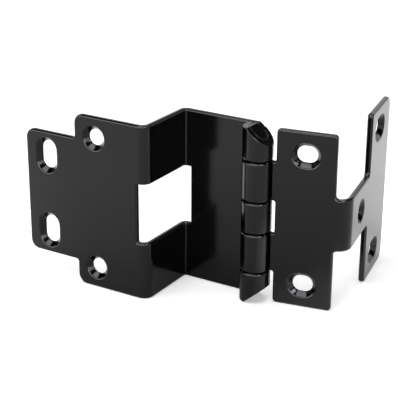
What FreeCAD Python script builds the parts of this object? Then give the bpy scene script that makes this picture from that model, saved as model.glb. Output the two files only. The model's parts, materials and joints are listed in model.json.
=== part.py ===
import FreeCAD, Part
import math
import os

# Five-knuckle cabinet hinge, in millimetres.
# A Z-folded frame leaf and a door leaf with a folded T-shaped bar turn about one pin along Z.
# The origin is the middle of the frame leaf's two round holes, on its mounting face.
# X runs along the frame leaf toward the pin, Y away from the countersunk side, Z up the pin.

# Sheet and pin
sheet = 2.4
bend_inside = 0.8
plate_bend_inside = 1.6
leaf_height = 69.85
pin_diameter = 6.8
pin_play = 0.05

# Barrel
end_knuckle = 12.7
door_knuckle = 15.875
knuckle_gap = 0.3
barrel_clearance = 1.4
curl_wrap = 300.0
notch_corner = 0.8
tip_start = 2.0
tip_slope = 40.0

# Frame leaf
face_offset = 27.4
web_to_pin = 33.6
hole_to_web = 23.6
hole_to_step = 9.1
tab_length = 23.3
tab_height = 50.5
outer_corner = 3.8
step_corner = 1.0
frame_hole_pitch = 53.0
slot_from_step = 13.5
slot_pitch = 31.2
slot_travel = 4.8
window_overrun = 2.2
window_clearance = 1.5

# Door leaf
leaf_set_back = 0.45
swage_angle = 55.0
door_fold_inside = 3.2
neck_lead = 0.15
leaf_corner = 1.5
neck_height = 20.6
neck_corner = 1.5
bar_clearance = 4.9
bar_width = 29.1
bar_corner = 4.0
door_hole_pitch = 51.8
door_hole_inset = 11.4
door_hole_travel = 1.5
neck_hole_inset = 15.9
bar_hole_inset = 13.0

# Countersunk screw holes
screw_hole = 6.4
screw_head = 10.0
head_angle = 82.0

# How far the door leaf is turned behind the line of the frame leaf as it stands
rest_angle = 10.4

# Places that follow from the sizes above
bore_radius = pin_diameter / 2 + pin_play
barrel_radius = bore_radius + sheet
top = leaf_height / 2
centre_knuckle = leaf_height - 2 * end_knuckle - 2 * door_knuckle
bend_outside = bend_inside + sheet
notch_reach = barrel_radius + barrel_clearance
pin_x = hole_to_web + web_to_pin
pin_y = face_offset - barrel_radius
margin = 1.0
ORIGIN = FreeCAD.Vector(0, 0, 0)
UP = FreeCAD.Vector(0, 0, 1)


def point(x, y, z=0.0):
    return FreeCAD.Vector(x, y, z)


def polar(radius, degrees):
    """A point on a circle about the pin."""
    angle = math.radians(degrees)
    return point(radius * math.cos(angle), radius * math.sin(angle))


def box(x0, x1, y0, y1, z0, z1):
    return Part.makeBox(x1 - x0, y1 - y0, z1 - z0, point(x0, y0, z0))


def prism(edges, height):
    """A closed outline in the XY plane, extruded to the full height about Z = 0."""
    face = Part.Face(Part.Wire(edges))
    solid = face.extrude(UP * height)
    solid.translate(UP * (-height / 2))
    return solid


def line(start, end):
    return Part.LineSegment(start, end).toShape()


def arc(centre, radius, start, end):
    """An arc from one bearing to another, in degrees, turning the way the sign says."""
    a = centre + polar(radius, start)
    m = centre + polar(radius, (start + end) / 2)
    b = centre + polar(radius, end)
    return Part.Arc(a, m, b).toShape()


def rounded(solid, radius, places):
    """Round the straight edges whose middles lie at the given places."""
    edges = []
    for edge in solid.Edges:
        middle = edge.CenterOfMass
        if any((middle - place).Length < 0.01 for place in places):
            edges.append(edge)
    return solid.makeFillet(radius, edges)


def screw_cutter(travel):
    """A countersunk hole along Y, head at Y = 0, lengthened along X by the travel."""
    hole = screw_hole / 2
    head = screw_head / 2
    widening = math.tan(math.radians(head_angle / 2))
    sink = (head - hole) / widening
    lift = margin * widening
    away = point(0, 1, 0)
    cone_start = -margin
    ends = []
    for side in (-travel / 2, travel / 2):
        ends.append(Part.makeCone(head + lift, hole, sink + margin, point(side, cone_start, 0), away))
        ends.append(Part.makeCylinder(hole, sheet + 2 * margin, point(side, cone_start, 0), away))
        if travel == 0:
            break
    cutter = ends[0].fuse(ends[1:])
    if travel > 0:
        corners = [
            point(-travel / 2, cone_start, -head - lift),
            point(-travel / 2, sink, -hole),
            point(-travel / 2, sheet + margin, -hole),
            point(-travel / 2, sheet + margin, hole),
            point(-travel / 2, sink, hole),
            point(-travel / 2, cone_start, head + lift),
        ]
        middle = Part.Face(Part.makePolygon(corners + corners[:1])).extrude(point(travel, 0, 0))
        cutter = cutter.fuse(middle)
    return cutter.removeSplitter()


def tip_cutters():
    """The two slanted cuts that give the barrel its sloping tips."""
    size = 4 * barrel_radius
    cutters = []
    for end in (1, -1):
        block = box(-size, 2 * size, -size, size, 0, size)
        if end < 0:
            block = box(-size, 2 * size, -size, size, -size, 0)
        block.rotate(ORIGIN, point(0, 1, 0), end * tip_slope)
        block.translate(point(-tip_start, 0, end * top))
        cutters.append(block)
    return cutters


def knuckle_bands():
    """The height ranges of the three frame knuckles and the two door knuckles, gaps taken off."""
    inner = centre_knuckle / 2
    outer = inner + door_knuckle
    half = knuckle_gap / 2
    frame = [(-top, -outer - half), (-inner + half, inner - half), (outer + half, top)]
    door = [(-outer + half, -inner - half), (inner + half, outer - half)]
    return frame, door


def gaps_between(bands):
    """What lies between and beyond the bands, past both ends of the leaf."""
    edges = [-top - margin]
    for low, high in bands:
        edges += [low, high]
    edges.append(top + margin)
    pairs = zip(edges[0::2], edges[1::2])
    return [(low, high) for low, high in pairs if high - low > margin + 0.001]


def frame_profile():
    """The Z fold and the curl, about the pin: mounting plate, web, inner plate, barrel."""
    back = barrel_radius
    front = barrel_radius - sheet
    plate_back = back - face_offset
    plate_front = front - face_offset
    right = -web_to_pin
    left = -web_to_pin - sheet
    end = -pin_x - hole_to_step - tab_length
    curl_end = 90 - curl_wrap
    r = bend_inside
    R = bend_outside
    wide = plate_bend_inside
    first_bend = point(left - wide, plate_back + wide)
    second_bend = point(right + r, front - r)
    return [
        line(point(end, plate_back), point(left - wide, plate_back)),
        arc(first_bend, wide, 270, 360),
        line(point(left, plate_back + wide), point(left, front - r)),
        arc(second_bend, R, 180, 90),
        line(point(right + r, back), point(0, back)),
        arc(ORIGIN, barrel_radius, 90, curl_end),
        line(polar(barrel_radius, curl_end), polar(bore_radius, curl_end)),
        arc(ORIGIN, bore_radius, curl_end, 90),
        line(point(0, front), point(right + r, front)),
        arc(second_bend, r, 90, 180),
        line(point(right, front - r), point(right, plate_back + wide)),
        arc(first_bend, wide + sheet, 360, 270),
        line(point(left - wide, plate_front), point(end, plate_front)),
        line(point(end, plate_front), point(end, plate_back)),
    ]


def frame_leaf():
    back = barrel_radius
    front = barrel_radius - sheet
    plate_front = front - face_offset
    plate_middle = plate_front + sheet / 2
    step = -pin_x - hole_to_step
    end = step - tab_length
    tab = tab_height / 2
    solid = prism(frame_profile(), leaf_height)

    for low, high in ((tab, top + margin), (-top - margin, -tab)):
        waste = box(end - margin, step, plate_front - margin, plate_front + sheet + margin, low, high)
        solid = solid.cut(waste)
    solid = rounded(solid, outer_corner, [
        point(x, plate_middle, z) for x, h in ((end, tab), (step, top)) for z in (h, -h)])
    solid = rounded(solid, step_corner, [point(step, plate_middle, z) for z in (tab, -tab)])

    frame_bands, door_bands = knuckle_bands()
    reach = barrel_radius + margin
    for low, high in gaps_between(frame_bands):
        notch = box(-notch_reach, reach, -reach, reach, low, high)
        solid = solid.cut(rounded(notch, notch_corner, [
            point(-notch_reach, 0, z) for z in (low, high)]))

    window = neck_height / 2 + window_clearance
    left = -web_to_pin - sheet - window_overrun
    right = -web_to_pin + window_overrun
    solid = solid.cut(box(left, right, plate_front - margin, back + margin, -window, window))

    round_hole = screw_cutter(0)
    slot = screw_cutter(slot_travel)
    slot.rotate(ORIGIN, point(0, 1, 0), 90)
    for side in (-1, 1):
        hole = round_hole.copy()
        hole.translate(point(-pin_x, plate_front, side * frame_hole_pitch / 2))
        solid = solid.cut(hole)
        hole = slot.copy()
        hole.translate(point(step - slot_from_step, plate_front, side * slot_pitch / 2))
        solid = solid.cut(hole)

    for cutter in tip_cutters():
        solid = solid.cut(cutter)
    return solid


def door_profile():
    """The curl, the swage down to the pin's own line, the leaf, the fold and the bar."""
    front = leaf_set_back - sheet / 2
    back = leaf_set_back + sheet / 2
    right = web_to_pin + sheet
    inside = right - sheet
    far = bar_start() + bar_width
    r = bend_inside
    R = bend_outside

    first = 90 - swage_angle
    last = first + curl_wrap
    slope = polar(1, first - 90)
    drop = barrel_radius * math.sin(math.radians(first)) - back
    drop -= r * (1 - math.cos(math.radians(swage_angle)))
    run = drop / math.sin(math.radians(swage_angle))
    outer_a = polar(barrel_radius, first)
    outer_b = outer_a + slope * run
    inner_a = polar(bore_radius, first)
    inner_b = inner_a + slope * run
    swage = outer_b + polar(r, first)
    wide = door_fold_inside
    fold = point(inside - wide, back + wide)
    return [
        arc(ORIGIN, barrel_radius, last, first),
        line(outer_a, outer_b),
        arc(swage, r, first + 180, 270),
        line(swage + point(0, -r), point(inside - wide, back)),
        arc(fold, wide, 270, 360),
        line(point(inside, back + wide), point(inside, far)),
        line(point(inside, far), point(right, far)),
        line(point(right, far), point(right, back + wide)),
        arc(fold, wide + sheet, 360, 270),
        line(point(inside - wide, front), swage + point(0, -R)),
        arc(swage, R, 270, first + 180),
        line(inner_b, inner_a),
        arc(ORIGIN, bore_radius, first, last),
        line(polar(bore_radius, last), polar(barrel_radius, last)),
    ]


def bar_start():
    """Where the bar begins, measured from the pin: past the mounting plate when the hinge is shut."""
    return face_offset - (barrel_radius - sheet) + bar_clearance


def door_leaf():
    front = leaf_set_back - sheet / 2
    back = leaf_set_back + sheet / 2
    right = web_to_pin + sheet
    inside = right - sheet
    edge = inside - door_fold_inside - neck_lead
    neck = neck_height / 2
    start = bar_start()
    far = start + bar_width
    fold_end = back + door_fold_inside
    solid = prism(door_profile(), leaf_height)

    for low, high in ((neck, top + margin), (-top - margin, -neck)):
        root = neck if low > 0 else -neck
        beside = box(edge, right + margin, front - margin, fold_end, low, high)
        beside = rounded(beside, neck_corner, [point(edge, (front - margin + fold_end) / 2, root)])
        under = box(inside - margin, right + margin, fold_end, start, low, high)
        under = rounded(under, neck_corner, [point((inside + right) / 2, start, root)])
        solid = solid.cut(beside).cut(under)
    solid = rounded(solid, leaf_corner, [point(edge, leaf_set_back, z) for z in (top, -top)])
    solid = rounded(solid, bar_corner, [point((inside + right) / 2, far, z) for z in (top, -top)])
    solid = rounded(solid, leaf_corner, [point((inside + right) / 2, start, z) for z in (top, -top)])

    frame_bands, door_bands = knuckle_bands()
    reach = barrel_radius + margin
    for low, high in gaps_between(door_bands):
        notch = box(-reach, notch_reach, -reach, reach, low, high)
        ends = [z for z in (low, high) if abs(z) < top]
        solid = solid.cut(rounded(notch, notch_corner, [point(notch_reach, 0, z) for z in ends]))
    solid = rounded(solid, leaf_corner, [point(notch_reach, leaf_set_back, z) for z in (top, -top)])

    leaf_hole = screw_cutter(door_hole_travel)
    bar_hole = screw_cutter(0)
    bar_hole.rotate(ORIGIN, UP, 90)
    for side in (-1, 1):
        hole = leaf_hole.copy()
        hole.translate(point(notch_reach + door_hole_inset, front, side * door_hole_pitch / 2))
        solid = solid.cut(hole)
        hole = bar_hole.copy()
        hole.translate(point(right, start + bar_hole_inset, side * door_hole_pitch / 2))
        solid = solid.cut(hole)
    hole = bar_hole.copy()
    hole.translate(point(right, back + neck_hole_inset, 0))
    solid = solid.cut(hole)
    solid.rotate(ORIGIN, UP, rest_angle)
    return solid


def pin():
    solid = Part.makeCylinder(pin_diameter / 2, leaf_height, point(0, 0, -top), UP)
    for cutter in tip_cutters():
        solid = solid.cut(cutter)
    return solid


pieces = {"frame_leaf": frame_leaf(), "door_leaf": door_leaf(), "hinge_pin": pin()}
os.makedirs("parts", exist_ok=True)
for name, shape in pieces.items():
    shape.translate(point(pin_x, pin_y))
    solid = shape.Solids[0]
    print(name, len(shape.Solids), "solid", shape.isValid(), round(solid.Volume, 1), "mm3")
    solid.exportStep("parts/" + name + ".step")
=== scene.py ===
import bmesh
import bpy
import json
import math
import numpy as np
from mathutils import Matrix, Vector


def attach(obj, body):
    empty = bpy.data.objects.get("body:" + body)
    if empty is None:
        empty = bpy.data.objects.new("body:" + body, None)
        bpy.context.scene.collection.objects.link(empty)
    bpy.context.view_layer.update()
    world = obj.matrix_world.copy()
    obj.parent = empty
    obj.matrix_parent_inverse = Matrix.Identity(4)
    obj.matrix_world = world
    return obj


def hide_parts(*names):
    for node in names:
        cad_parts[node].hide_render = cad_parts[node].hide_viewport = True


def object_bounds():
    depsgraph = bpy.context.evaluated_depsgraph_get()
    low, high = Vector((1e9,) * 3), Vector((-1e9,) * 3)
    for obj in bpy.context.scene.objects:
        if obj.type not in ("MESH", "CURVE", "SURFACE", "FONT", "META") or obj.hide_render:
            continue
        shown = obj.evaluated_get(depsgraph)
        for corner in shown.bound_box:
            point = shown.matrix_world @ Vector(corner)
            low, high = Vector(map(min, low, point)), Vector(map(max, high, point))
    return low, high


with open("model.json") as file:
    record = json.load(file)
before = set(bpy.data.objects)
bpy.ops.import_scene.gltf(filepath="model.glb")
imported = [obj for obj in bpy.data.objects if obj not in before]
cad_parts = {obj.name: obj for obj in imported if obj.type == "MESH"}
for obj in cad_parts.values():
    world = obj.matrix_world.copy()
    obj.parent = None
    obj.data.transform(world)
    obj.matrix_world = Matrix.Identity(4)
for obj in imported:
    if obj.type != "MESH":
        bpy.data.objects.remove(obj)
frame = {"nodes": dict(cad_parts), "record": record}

cad_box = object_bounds()
nodes = frame["nodes"]

# Paint on both leaves and the pin: a full-gloss black stoving enamel over pressed steel.
# It was sprayed on after the hinge was assembled and then baked, so it runs unbroken over
# faces, edges and countersinks.
MM = 0.001
ENAMEL_DEEP = "010102"
ENAMEL_THIN = "040405"
ENAMEL_IOR = 1.5
ENAMEL_ROUGHNESS = (0.10, 0.17)
# Each noise: how large its patches are, in mm, and how much finer noise it carries
DRIFT = (14.0, 2.0)
DUST = (0.35, 1.0)
PEEL = (1.1, 1.5)
PEEL_HEIGHT_MM = 0.0022
# The colour sockets of a Mix node, which share their names with its other sockets
MIX_A = 6
MIX_B = 7
MIX_OUT = 2


def linear(text):
    """An sRGB hex colour as linear red, green, blue and alpha."""
    values = [int(text[i:i + 2], 16) / 255 for i in (0, 2, 4)]
    return [v / 12.92 if v <= 0.04045 else ((v + 0.055) / 1.055) ** 2.4 for v in values] + [1.0]


def add(tree, kind, inputs=None, **settings):
    """A node of this kind with its settings. Each input takes a value or another node's output."""
    node = tree.nodes.new(kind)
    for key, value in settings.items():
        setattr(node, key, value)
    for key, value in (inputs or {}).items():
        if isinstance(value, bpy.types.NodeSocket):
            tree.links.new(value, node.inputs[key])
        else:
            node.inputs[key].default_value = value
    return node


def noise(tree, place, size_mm, detail):
    """Noise between 0 and 1 whose patches are about size_mm wide."""
    return add(tree, "ShaderNodeTexNoise",
               {"Vector": place, "Scale": 1 / (size_mm * MM), "Detail": detail}).outputs["Fac"]


def ramp(tree, value, start, end, low, high, **settings):
    """Low up to where the value is start, high from where it is end, and a steady rise or fall between."""
    return add(tree, "ShaderNodeMapRange",
               {"Value": value, "From Min": start, "From Max": end, "To Min": low, "To Max": high},
               **settings).outputs["Result"]


def cleared(block):
    """The node tree of a material or world, without the nodes that it starts with."""
    block.use_nodes = True
    block.node_tree.nodes.clear()
    return block.node_tree


def enamel():
    """Gives the eye a deep black body under a clear smooth film, which mirrors the room."""
    material = bpy.data.materials.new("black_stoving_enamel")
    tree = cleared(material)
    place = add(tree, "ShaderNodeTexCoord").outputs["Object"]

    # The film is a little thicker in some places than in others, which shifts its black by a shade
    drift = noise(tree, place, *DRIFT)
    shade = add(tree, "ShaderNodeMix",
                {"Factor": drift, MIX_A: linear(ENAMEL_DEEP), MIX_B: linear(ENAMEL_THIN)},
                data_type="RGBA")

    # Fine dust caught while the paint was wet dulls the gloss in specks
    gloss = ramp(tree, noise(tree, place, *DUST), 0.0, 1.0, *ENAMEL_ROUGHNESS)

    # Orange peel: the faint waves that a sprayed film keeps when it sets
    wave = add(tree, "ShaderNodeBump",
               {"Height": noise(tree, place, *PEEL), "Strength": 1.0, "Distance": PEEL_HEIGHT_MM * MM})

    film = add(tree, "ShaderNodeBsdfPrincipled",
               {"Base Color": shade.outputs[MIX_OUT], "Roughness": gloss, "Normal": wave.outputs["Normal"],
                "IOR": ENAMEL_IOR})
    add(tree, "ShaderNodeOutputMaterial", {"Surface": film.outputs["BSDF"]})
    return material


black = enamel()

# Frame leaf: one blank of 2.4 mm steel sheet, pierced and countersunk, folded into a Z and
# curled into knuckles 1, 3 and 5, which the pin runs through. Its edges are soft from
# tumbling and from the paint.
PIN_AXIS = (0.0572, 0.02155, 0)
# Distances within which two corners are one, a corner is left on a cut, and an edge lies on one
WELD_MM = 0.002
CUT_SNAP_MM = 0.001
ON_CUT_MM = 0.003
# Turns between two faces, in degrees: less than the first is one flat, more than the second is
# a corner to round, and from the third on it is rounded in full
FLAT_UNDER = 0.2
CORNER_FROM = 28.0
SQUARE_FROM = 60.0
# Shares of the full rounding: at a shallow corner, round the pin's ends and at the slanted tips
SHALLOW_SHARE = 0.5
RIM_SHARE = 0.3
TIP_SHARE = 0.4
# The most that a rounding takes off a narrow face, as a share of its width
TAKE_OFF = 0.4
# Where the pin's rims and the slanted tips are: how far from the pin's axis they end, and how
# far above and below the middle they begin
RIM_WITHIN_MM = 3.6
TIP_WITHIN_MM = 5.95
TIP_FROM_MM = 28.0
EDGE_STEPS = 4
LEAF_EDGE_MM = 0.85
# Heights of its cuts: through the round holes, the slots and the window
FRAME_CUTS_MM = (-26.5, -15.6, 0.0, 15.6, 26.5)


def placed(name, data):
    """A new object that shows this data."""
    thing = bpy.data.objects.new(name, data)
    bpy.context.scene.collection.objects.link(thing)
    return thing


def welded(mesh):
    """The mesh as one skin, in which triangles that touch share their corners."""
    skin = bmesh.new()
    skin.from_mesh(mesh)
    bmesh.ops.remove_doubles(skin, verts=skin.verts, dist=WELD_MM * MM)
    return skin


def rounding(edge, edge_mm):
    """The share of edge_mm that a sharp edge is rounded by.

    It is smaller where the turn is shallow, as around a countersink, at the slanted tips, and
    smaller still where the pin fills their rims, because the paint closes the joint there. It
    is at most TAKE_OFF of how far the narrower of the two faces reaches away from the edge."""
    foot = edge.verts[0].co
    way = (edge.verts[1].co - foot).normalized()
    narrow = min(max((vert.co - foot).cross(way).length for vert in face.verts)
                 for face in edge.link_faces)
    share = SHALLOW_SHARE if math.degrees(edge.calc_face_angle()) < SQUARE_FROM else 1.0
    from_pin = max((vert.co - Vector(PIN_AXIS)).xy.length for vert in edge.verts) / MM
    if from_pin < TIP_WITHIN_MM and min(abs(vert.co.z) for vert in edge.verts) > TIP_FROM_MM * MM:
        share = RIM_SHARE if from_pin < RIM_WITHIN_MM else TIP_SHARE
    return min(share, TAKE_OFF * narrow / (edge_mm * MM))


def softened(node, body, edge_mm, cuts_mm, blank=None):
    """The node's solid, or the blank made from it, with soft edges, painted, in the node's place.

    Each flat is made one face, cut along the heights cuts_mm and along the pin, so that no
    face has a hole in it. An edge is sharp where its two faces turn by more than CORNER_FROM,
    and rounded by the share of edge_mm that rounding gives it."""
    mesh = blank or nodes[node].data.copy()
    mesh.name = node + "_painted"
    solid = welded(mesh)
    cuts = [((0, 0, z * MM), (0, 0, 1)) for z in cuts_mm] + [(PIN_AXIS, (0, 1, 0))]
    for spot, along in cuts:
        bmesh.ops.bisect_plane(solid, geom=solid.verts[:] + solid.edges[:] + solid.faces[:],
                               dist=CUT_SNAP_MM * MM, plane_co=spot, plane_no=along)

    def on_a_cut(edge):
        return any(all(abs((vert.co - Vector(spot)).dot(Vector(along))) < ON_CUT_MM * MM
                       for vert in edge.verts) for spot, along in cuts)

    flat = [edge for edge in solid.edges
            if math.degrees(edge.calc_face_angle()) < FLAT_UNDER and not on_a_cut(edge)]
    bmesh.ops.dissolve_edges(solid, edges=flat, use_verts=True, use_face_split=False)
    weight = solid.edges.layers.float.new("bevel_weight_edge")
    for edge in solid.edges:
        if math.degrees(edge.calc_face_angle()) > CORNER_FROM:
            edge[weight] = rounding(edge, edge_mm)
    solid.to_mesh(mesh)
    solid.free()
    mesh.polygons.foreach_set("use_smooth", np.ones(len(mesh.polygons), bool))
    mesh.materials.clear()
    mesh.materials.append(black)
    piece = placed(node + "_painted", mesh)
    soft = piece.modifiers.new("rounded_edges", "BEVEL")
    soft.width = edge_mm * MM
    soft.segments = EDGE_STEPS
    soft.limit_method = "WEIGHT"
    soft.use_clamp_overlap = False
    soft.loop_slide = False
    soft.face_strength_mode = "FSTR_ALL"
    shading = piece.modifiers.new("shading_by_area", "WEIGHTED_NORMAL")
    shading.mode = "FACE_AREA_WITH_ANGLE"
    shading.use_face_influence = True
    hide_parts(node)
    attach(piece, body)


softened("frame_leaf", "frame", LEAF_EDGE_MM, FRAME_CUTS_MM)

# Door leaf: the same steel sheet, swaged down to the middle of the barrel and curled into
# knuckles 2 and 4, with its neck folded square and ending in the T-shaped bar.
# The bar's two holes are slots along its width, from the same punch as the tab's slots.
SHEET_MM = 2.4
SLOT_RUN_MM = 4.8
# The punch is a hair wider than the solid's round hole and head, so that nothing of them is left,
# and reaches past both faces of the sheet by the spare
PUNCH_MM = (6.42, 10.02)
PUNCH_SLOPE = 41.0
PUNCH_SPARE_MM = 1.0
PUNCH_POINTS = 64
# Heights of its cuts, through the holes. The one through the neck hole meets the middle of a
# facet, because at its corner it would leave edges too short to round
DOOR_CUTS_MM = (-25.9, -0.16, 25.9)
bar_holes = next(mount for mount in frame["record"]["mounts"] if mount["name"] == "bar_holes")


def slot_punch(middle, outward):
    """A countersinking punch for one slot, as a closed mesh object.

    At the angle t round the slot and the depth d below the face, a point is the middle, plus
    half the run toward the end that cos t points to, plus the radius times cos t along the slot
    and sin t upward, less d outward. The radius falls with the depth by the tangent of the
    slope, from the head's to the hole's, and stays there through the rest of the sheet."""
    hole, head = (size / 2 for size in PUNCH_MM)
    fall = math.tan(math.radians(PUNCH_SLOPE))
    depth = np.array([-PUNCH_SPARE_MM, (head - hole) / fall, SHEET_MM + PUNCH_SPARE_MM])
    radius = np.array([head + PUNCH_SPARE_MM * fall, hole, hole])
    t = (np.arange(PUNCH_POINTS) + 0.5) * 2 * math.pi / PUNCH_POINTS
    out = np.array(outward)
    up = np.array((0.0, 0.0, 1.0))
    along = np.cross(up, out)
    reach = np.sign(np.cos(t)) * SLOT_RUN_MM / 2 + radius[:, None] * np.cos(t)
    rise = radius[:, None] * np.sin(t)
    spots = np.array(middle) + MM * (
        reach[..., None] * along + rise[..., None] * up - depth[:, None, None] * out)
    ring = np.arange(PUNCH_POINTS)
    after = np.roll(ring, -1)
    walls = [quad.tolist() for row in (0, 1) for quad in
             np.stack([ring, after, after + PUNCH_POINTS, ring + PUNCH_POINTS], 1) + row * PUNCH_POINTS]
    lids = [ring[::-1].tolist(), (ring + 2 * PUNCH_POINTS).tolist()]
    mesh = bpy.data.meshes.new("slot_punch")
    mesh.from_pydata(spots.reshape(-1, 3).tolist(), [], walls + lids)
    shell = bmesh.new()
    shell.from_mesh(mesh)
    bmesh.ops.recalc_face_normals(shell, faces=shell.faces[:])
    shell.to_mesh(mesh)
    shell.free()
    return placed("slot_punch", mesh)


def pierced(node, punches):
    """A copy of the node's mesh, welded, with each punch taken out of it. The punches are used up."""
    mesh = nodes[node].data.copy()
    weld = welded(mesh)
    weld.to_mesh(mesh)
    weld.free()
    blank = placed(node + "_blank", mesh)
    for punch in punches:
        stroke = blank.modifiers.new("punch", "BOOLEAN")
        stroke.operation = "DIFFERENCE"
        stroke.solver = "EXACT"
        stroke.object = punch
    bpy.context.view_layer.update()
    result = bpy.data.meshes.new_from_object(blank.evaluated_get(bpy.context.evaluated_depsgraph_get()))
    for used in [blank] + punches:
        bpy.data.objects.remove(used)
    return result


bar_out = Vector(bar_holes["axis"]) * -1
bar_face = Vector(bar_holes["pos_m"]) + bar_out * SHEET_MM * MM
punches = [slot_punch(bar_face + Vector((0, 0, side * bar_holes["dims"]["pcd_mm"] / 2 * MM)), bar_out)
           for side in (-1, 1)]
softened("door_leaf", "door", LEAF_EDGE_MM, DOOR_CUTS_MM, pierced("door_leaf", punches))

# Pin: a length of drawn steel wire that fills the barrel and holds the two leaves together.
# Its ends are cut off at the same slant as the end knuckles.
PIN_EDGE_MM = 0.45
PIN_CUTS_MM = (0.0,)
softened("hinge_pin", "frame", PIN_EDGE_MM, PIN_CUTS_MM)

# Floor: a plain white paper sweep far larger than the hinge, which stands on it. It keeps a
# soft contact shadow and otherwise fades into the white of the room. Its colour as a reflection
# sees it is painted light and shade: painted light toward the back left, painted shade a
# little darker close to the hinge, and a painted patch of glare close to its right side.
FLOOR_SIZE = 6.0
FLOOR_SHADE = "f2f2f2"
PAINTED_LIGHT_WAY = (-0.63, 0.77, 0.0)
# The painted light and shade that a reflection sees: two values and the tone at each. The
# first two fades go by how far the spot lies toward the painted light at the back left, from -1
# to 1, and the third, the painted shade close to the hinge, by its distance in metres
PAINTED_LIGHT_FRONT_FADE = (-1.0, -0.2, 0.75, 1.0)
PAINTED_LIGHT_SIDE_FADE = (-0.2, 0.3, 0.62, 1.15)
PAINTED_SHADE_NEAR_FADE = (0.02, 0.18, 0.8, 1.25)
# The painted patch of glare, a painted highlight on the reflected paper: how much of it is there
# by the distance, and by how far the spot lies to the right, from -1 to 1, and then how many
# times brighter none and all of it are
RIGHT_WAY = (1.0, 0.0, 0.0)
PAINTED_GLARE_NEAR = (0.09, 0.125, 1.0, 0.0)
PAINTED_GLARE_SIDE = (0.64, 0.95, 0.0, 1.0)
PAINTED_GLARE_GAIN = (0.0, 1.0, 1.0, 2.3)
# What the camera sees: two distances in metres and the white that is added at each
MELT_FADE = (0.2, 1.0, 0.38, 0.64)
MIDDLE = (cad_box[0] + cad_box[1]) / 2
GROUND = float(cad_box[0][2])


def product(tree, first, second):
    """One output times another."""
    return add(tree, "ShaderNodeMath", {0: first, 1: second}, operation="MULTIPLY").outputs[0]


def floor():
    """A square sheet at the height of the hinge's lowest edge."""
    half = FLOOR_SIZE / 2
    corners = [(x, y, GROUND) for x, y in ((-half, -half), (half, -half), (half, half), (-half, half))]
    mesh = bpy.data.meshes.new("floor")
    mesh.from_pydata(corners, [], [(0, 1, 2, 3)])
    sheet = placed("floor", mesh)

    # Gives the eye a matt white that only the contact shadow breaks
    material = bpy.data.materials.new("white_sweep_paper_with_painted_light")
    tree = cleared(material)
    rays = add(tree, "ShaderNodeLightPath")
    place = add(tree, "ShaderNodeTexCoord").outputs["Object"]
    from_hinge = add(tree, "ShaderNodeVectorMath", {0: place, 1: (*MIDDLE.xy, GROUND)},
                     operation="SUBTRACT").outputs["Vector"]
    heading = add(tree, "ShaderNodeVectorMath", {0: from_hinge}, operation="NORMALIZE").outputs["Vector"]
    way = add(tree, "ShaderNodeVectorMath", {0: heading, 1: PAINTED_LIGHT_WAY},
              operation="DOT_PRODUCT").outputs["Value"]
    away = add(tree, "ShaderNodeVectorMath", {0: from_hinge}, operation="LENGTH").outputs["Value"]
    # Painted light on the reflected paper: brighter toward the back left, darker toward the front right
    painted_light_sides = product(tree, ramp(tree, way, *PAINTED_LIGHT_FRONT_FADE), ramp(tree, way, *PAINTED_LIGHT_SIDE_FADE))
    right = add(tree, "ShaderNodeVectorMath", {0: heading, 1: RIGHT_WAY},
                operation="DOT_PRODUCT").outputs["Value"]
    # Painted glare: a painted highlight on the reflected paper close to the hinge's right side
    painted_glare = product(tree, ramp(tree, away, *PAINTED_GLARE_NEAR), ramp(tree, right, *PAINTED_GLARE_SIDE))
    # Painted shade: the reflected paper is darker close to the hinge, times the painted glare
    painted_shade_near = product(tree, ramp(tree, away, *PAINTED_SHADE_NEAR_FADE), ramp(tree, painted_glare, *PAINTED_GLARE_GAIN))
    painted_light_and_shade = product(tree, painted_light_sides, painted_shade_near)
    # A reflection sees the paper in the painted light and shade tone instead of its own white
    shade = add(tree, "ShaderNodeMix",
                {"Factor": rays.outputs["Is Glossy Ray"], MIX_A: linear(FLOOR_SHADE), MIX_B: painted_light_and_shade},
                data_type="RGBA")
    paper = add(tree, "ShaderNodeBsdfDiffuse", {"Color": shade.outputs[MIX_OUT]})
    lift = product(tree, rays.outputs["Is Camera Ray"], ramp(tree, away, *MELT_FADE))
    light = add(tree, "ShaderNodeEmission", {"Strength": lift, "Color": (1, 1, 1, 1)})
    both = add(tree, "ShaderNodeAddShader", {0: paper.outputs[0], 1: light.outputs[0]})
    add(tree, "ShaderNodeOutputMaterial", {"Surface": both.outputs[0]})
    mesh.materials.append(material)


floor()

# Room: a white cyclorama that ends at head height under a dark ceiling, with a bright screen
# in front. The camera sees it as plain white, a reflection sees where it ends and how bright
# the screen is, and as a light it stays at a plain level.
TENT_LIGHT = 0.45
# Two parts of a reflection's direction along Y, and the white at each: the wall and the screen
SCREEN_FADE = (-0.35, -0.75, 1.0, 4.5)
# The sine of the angle up at which the wall ends, half the width of its soft edge, and the tone above
WALL_TOP = 0.43
WALL_FADE = 0.03
CEILING = 0.015


def room():
    """White for the camera. A reflection sees white up to WALL_TOP, with the screen in it, then dark."""
    world = bpy.data.worlds.new("white_cyclorama")
    bpy.context.scene.world = world
    tree = cleared(world)
    rays = add(tree, "ShaderNodeLightPath").outputs
    way = add(tree, "ShaderNodeTexCoord").outputs["Generated"]
    parts = add(tree, "ShaderNodeSeparateXYZ", {"Vector": way}).outputs
    screen = ramp(tree, parts["Y"], *SCREEN_FADE)
    wall = ramp(tree, parts["Z"], WALL_TOP - WALL_FADE, WALL_TOP + WALL_FADE, screen, CEILING,
                interpolation_type="SMOOTHSTEP")
    bent = add(tree, "ShaderNodeMath", {0: rays["Is Glossy Ray"], 1: rays["Is Transmission Ray"]},
               operation="MAXIMUM").outputs[0]
    mirrored = add(tree, "ShaderNodeMix", {"Factor": bent, "A": TENT_LIGHT, "B": wall},
                   data_type="FLOAT").outputs["Result"]
    level = add(tree, "ShaderNodeMix", {"Factor": rays["Is Camera Ray"], "A": mirrored, "B": 1.0},
                data_type="FLOAT").outputs["Result"]
    white = add(tree, "ShaderNodeBackground", {"Strength": level, "Color": (1, 1, 1, 1)})
    add(tree, "ShaderNodeOutputWorld", {"Surface": white.outputs[0]})


room()

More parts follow.
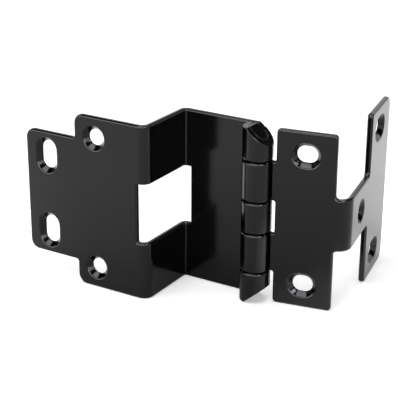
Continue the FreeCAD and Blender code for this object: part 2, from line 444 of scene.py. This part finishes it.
# Lamps: two soft boxes hung overhead light the hinge. A small spot and a box at the right,
# with cooler bulbs and hidden from the floor, only draw glints on edges and rims.
NEUTRAL = (1.0, 1.0, 1.0)
COOL = (0.82, 0.86, 1.0)
# Each lamp: where it hangs, the length of its side, its watts, its tint, and if it lights the floor
LAMPS = {
    "top_box": ((-0.06, -0.24, 0.74), 0.62, 4.4, NEUTRAL, True),
    "back_box": ((0.10, 0.32, 0.75), 0.30, 1.4, NEUTRAL, True),
    "right_spot": ((0.55, -0.25, 0.75), 0.05, 0.35, COOL, False),
    "edge_box": ((0.67, -0.30, 0.57), 0.30, 2.6, COOL, False),
}


def lamp(name, spot, side, watts, tint, lights_floor):
    """A square soft box that faces the hinge."""
    light = bpy.data.lights.new(name, "AREA")
    light.size = side
    light.energy = watts
    light.color = tint
    box = placed(name, light)
    box.visible_diffuse = lights_floor
    away = Vector(spot) - MIDDLE
    box.matrix_world = Matrix.Translation(spot) @ away.to_track_quat("Z", "Y").to_matrix().to_4x4()


for name, values in LAMPS.items():
    lamp(name, *values)

# Camera: a long lens at the right front, looking down on the hinge. Its place, its lens and
# where it looks come from a fit to the hinge's corners, holes and edges.
CAMERA_SPOT = (0.2595, -0.35235, 0.1728)
CAMERA_FORWARD = (-0.4762, 0.7966, -0.3724)
CAMERA_RIGHT = (0.8567, 0.5158, 0.0078)
CAMERA_LENS = 105.6
CAMERA_SENSOR = 36.0
CAMERA_CLIP = (0.01, 50.0)


def camera():
    """The camera, from where it stands, where it looks and which way its right side points."""
    forward = Vector(CAMERA_FORWARD).normalized()
    right = Vector(CAMERA_RIGHT)
    right = (right - forward * right.dot(forward)).normalized()
    up = right.cross(forward)
    turn = Matrix((right, up, -forward)).transposed().to_4x4()
    eye = placed("camera", bpy.data.cameras.new("camera"))
    eye.data.lens = CAMERA_LENS
    eye.data.sensor_width = CAMERA_SENSOR
    eye.data.clip_start, eye.data.clip_end = CAMERA_CLIP
    eye.matrix_world = Matrix.Translation(CAMERA_SPOT) @ turn
    bpy.context.scene.camera = eye


camera()
bpy.context.scene.view_settings.view_transform = "Standard"
